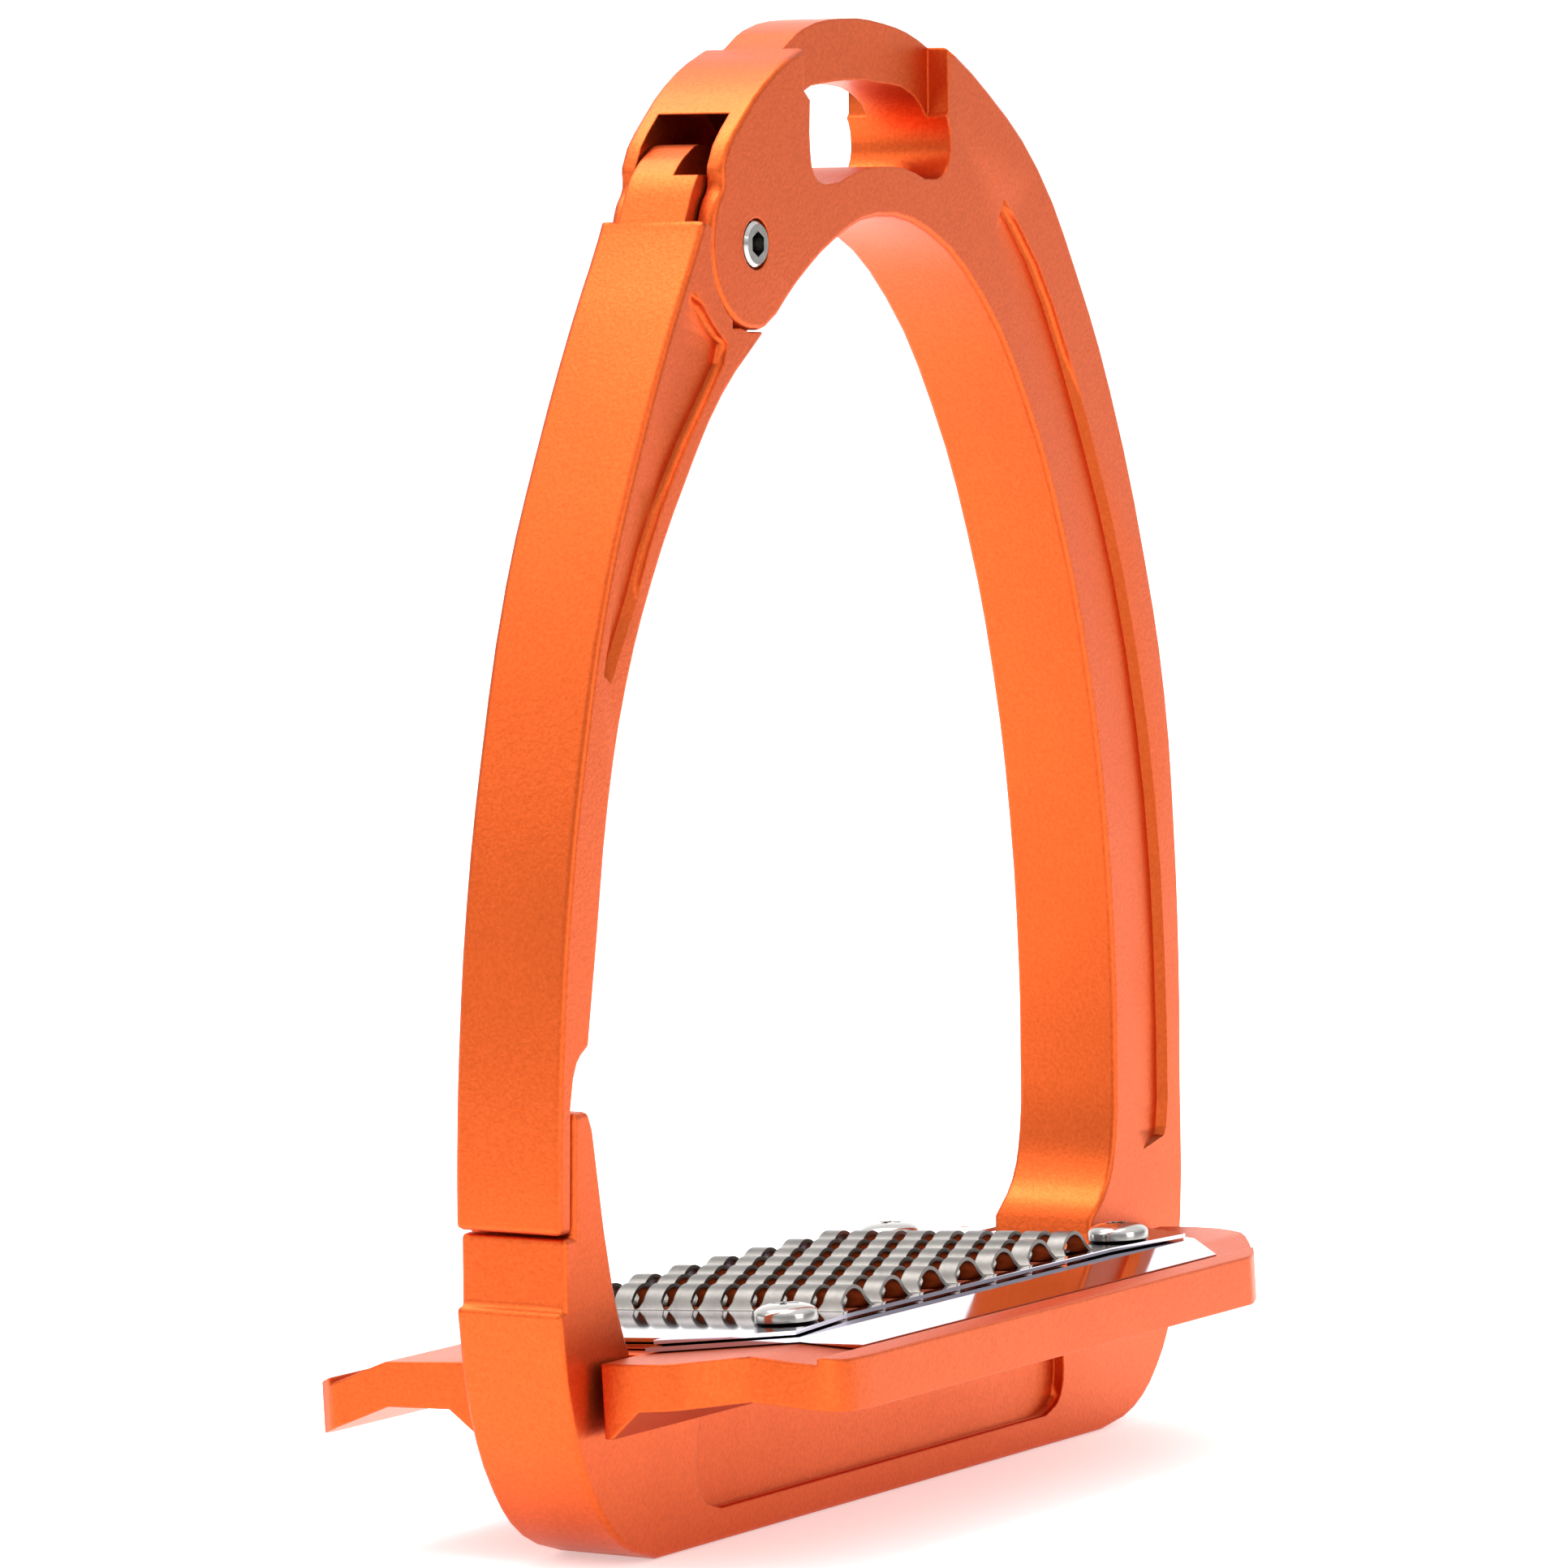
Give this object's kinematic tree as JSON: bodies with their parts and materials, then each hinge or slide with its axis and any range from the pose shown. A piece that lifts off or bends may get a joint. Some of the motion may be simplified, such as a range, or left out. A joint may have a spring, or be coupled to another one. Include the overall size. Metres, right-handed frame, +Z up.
{
  "type": "safety stirrup iron",
  "caption": "Safety stirrup iron: bowed frame with a strap slot, a spring-closed release arm hinged at the crown, and a wide tread with an arched metal grip.",
  "frame": {"origin": "centre of the bounding box's underside, on the flat of the base", "axes": "+X from the release arm to the fixed branch, -Y the front, +Z up to the strap slot"},
  "size_m": [0.1453, 0.0597, 0.1691],
  "materials": {
    "orange_anodised": "bead-blasted, anodised orange",
    "mirror_steel": "mirror polish",
    "grip_steel": "pressed, blasted matte",
    "bright_screws": "bright",
    "plain_steel": "plain",
    "bearing_bronze": "turned"
  },
  "bodies": {
    "stirrup": {"frame": "orange_anodised", "tread_platform": "orange_anodised", "tread_plate": "mirror_steel", "grip_sheet": "grip_steel", "grip_screw_front_left": "bright_screws", "grip_screw_front_right": "bright_screws", "grip_screw_rear_left": "bright_screws", "grip_screw_rear_right": "bright_screws", "tread_bolt_left": "plain_steel", "tread_bolt_right": "plain_steel", "bolt_washer_left": "plain_steel", "bolt_washer_right": "plain_steel", "hinge_pin": "bright_screws", "hinge_lock_screw": "bright_screws", "closing_spring": "plain_steel"},
    "arm": {"release_arm": "orange_anodised", "hinge_bush": "bearing_bronze", "thrust_washer_front": "bearing_bronze", "thrust_washer_rear": "bearing_bronze"}
  },
  "joints": [
    {"name": "arm_hinge", "type": "hinge", "parent": "stirrup", "child": "arm", "pos_m": [-0.0288, 0, 0.14355], "axis": [0, 1, 0], "range_deg": [0, 32], "stiffness_Nm_per_rad": 0.06, "springref_deg": -28.65, "deforming": ["closing_spring"]}
  ]
}
